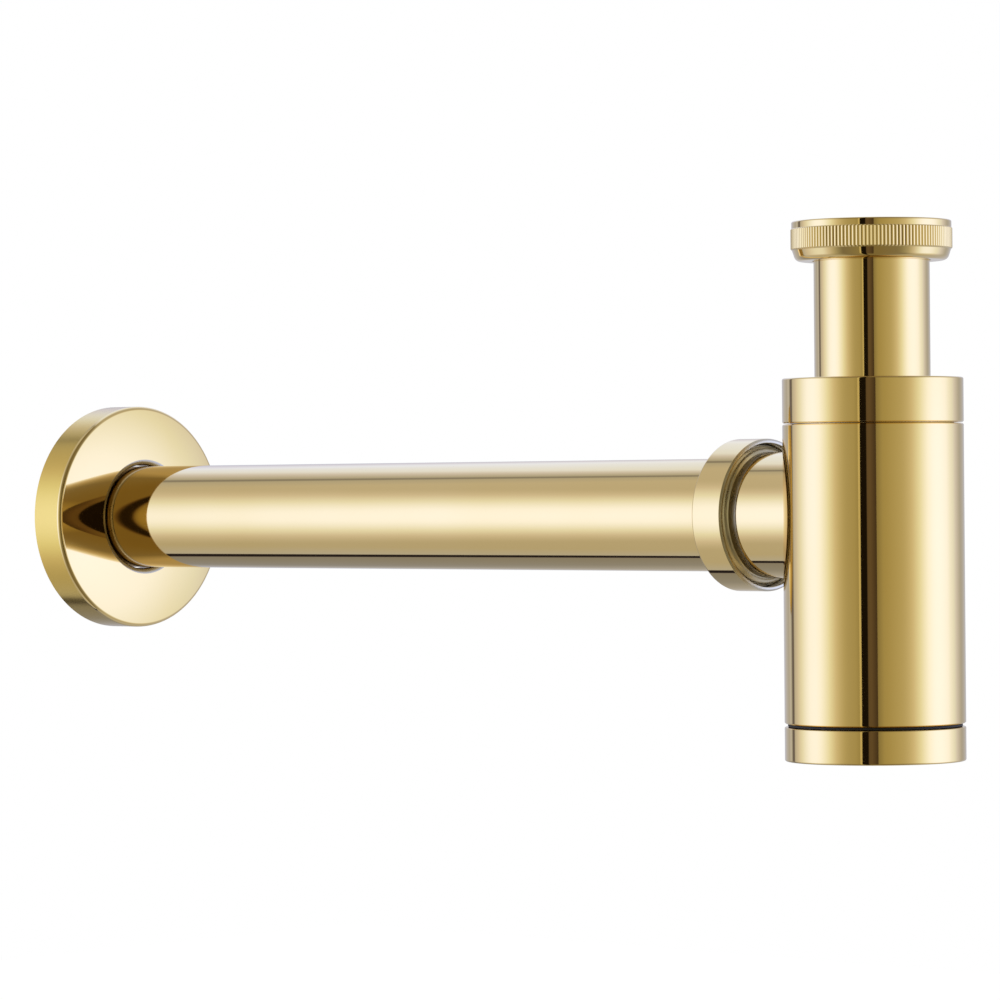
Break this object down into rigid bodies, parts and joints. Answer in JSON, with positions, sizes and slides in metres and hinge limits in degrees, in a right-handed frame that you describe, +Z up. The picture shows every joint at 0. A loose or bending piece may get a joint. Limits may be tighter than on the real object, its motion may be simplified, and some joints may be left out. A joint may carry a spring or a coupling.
{
  "type": "bottle trap",
  "caption": "Polished round bottle trap: knurled inlet nut and tube, cylindrical bottle with screw cap and cleaning cup, straight outlet tube and round wall flange.",
  "frame": {"origin": "centre of the inlet nut's mouth, where its thread starts", "axes": "+Z up along the inlet, towards the basin waste; +Y along the outlet tube, towards the wall; +X across"},
  "size_m": [0.07, 0.353, 0.149],
  "materials": {
    "polished_gold": "polished, gold plated",
    "black_rubber": "matt",
    "white_plastic": "moulded"
  },
  "bodies": {
    "inlet": {"inlet_tube": "polished_gold", "inlet_washer": "black_rubber"},
    "coupling": {"inlet_nut": "polished_gold"},
    "carriage": {"inlet_seal": "black_rubber"},
    "bottle": {"bottle_shell": "polished_gold", "outlet_branch": "polished_gold", "outlet_seal": "black_rubber"},
    "cap_ring": {"inlet_slip_ring": "white_plastic"},
    "cap": {"top_cap": "polished_gold"},
    "cup_ring": {"cup_gasket": "black_rubber"},
    "cup": {"bottom_cup": "polished_gold"},
    "gland_ring": {"outlet_slip_ring": "white_plastic"},
    "gland_nut": {"outlet_nut": "polished_gold"},
    "outlet": {"outlet_tube": "polished_gold"},
    "flange": {"wall_flange": "polished_gold"}
  },
  "joints": [
    {"name": "coupling_turn", "type": "hinge", "parent": "inlet", "child": "coupling", "pos_m": [0, 0, -0.006], "axis": [0, 0, 1], "continuous": true},
    {"name": "height_slide", "type": "slide", "parent": "inlet", "child": "carriage", "axis": [0, 0, 1], "range_m": [-0.02, 0.01]},
    {"name": "bottle_swivel", "type": "hinge", "parent": "carriage", "child": "bottle", "pos_m": [0, 0, -0.0805], "axis": [0, 0, 1], "continuous": true},
    {"name": "cap_lift", "type": "slide", "parent": "bottle", "child": "cap_ring", "axis": [0, 0, 1], "range_m": [0, 0.0071]},
    {"name": "cap_turn", "type": "hinge", "parent": "cap_ring", "child": "cap", "pos_m": [0, 0, -0.048], "axis": [0, 0, 1], "range_deg": [0, 1260]},
    {"name": "cup_drop", "type": "slide", "parent": "bottle", "child": "cup_ring", "axis": [0, 0, -1], "range_m": [0, 0.0081]},
    {"name": "cup_turn", "type": "hinge", "parent": "cup_ring", "child": "cup", "pos_m": [0, 0, -0.14], "axis": [0, 0, -1], "range_deg": [0, 1440]},
    {"name": "gland_travel", "type": "slide", "parent": "bottle", "child": "gland_ring", "axis": [0, 1, 0], "range_m": [0, 0.0046]},
    {"name": "gland_turn", "type": "hinge", "parent": "gland_ring", "child": "gland_nut", "pos_m": [0, 0.0425, -0.0805], "axis": [0, 1, 0], "range_deg": [0, 1080]},
    {"name": "outlet_slide", "type": "slide", "parent": "bottle", "child": "outlet", "axis": [0, 1, 0], "range_m": [0, 0.014]},
    {"name": "flange_slide", "type": "slide", "parent": "outlet", "child": "flange", "axis": [0, 1, 0], "range_m": [-0.2, 0.012]}
  ],
  "couplings": [
    {"joint": "cap_lift", "follows": "cap_turn", "m_per_rad": 0.00031831},
    {"joint": "cup_drop", "follows": "cup_turn", "m_per_rad": 0.00031831},
    {"joint": "gland_travel", "follows": "gland_turn", "m_per_rad": 0.00023873}
  ]
}
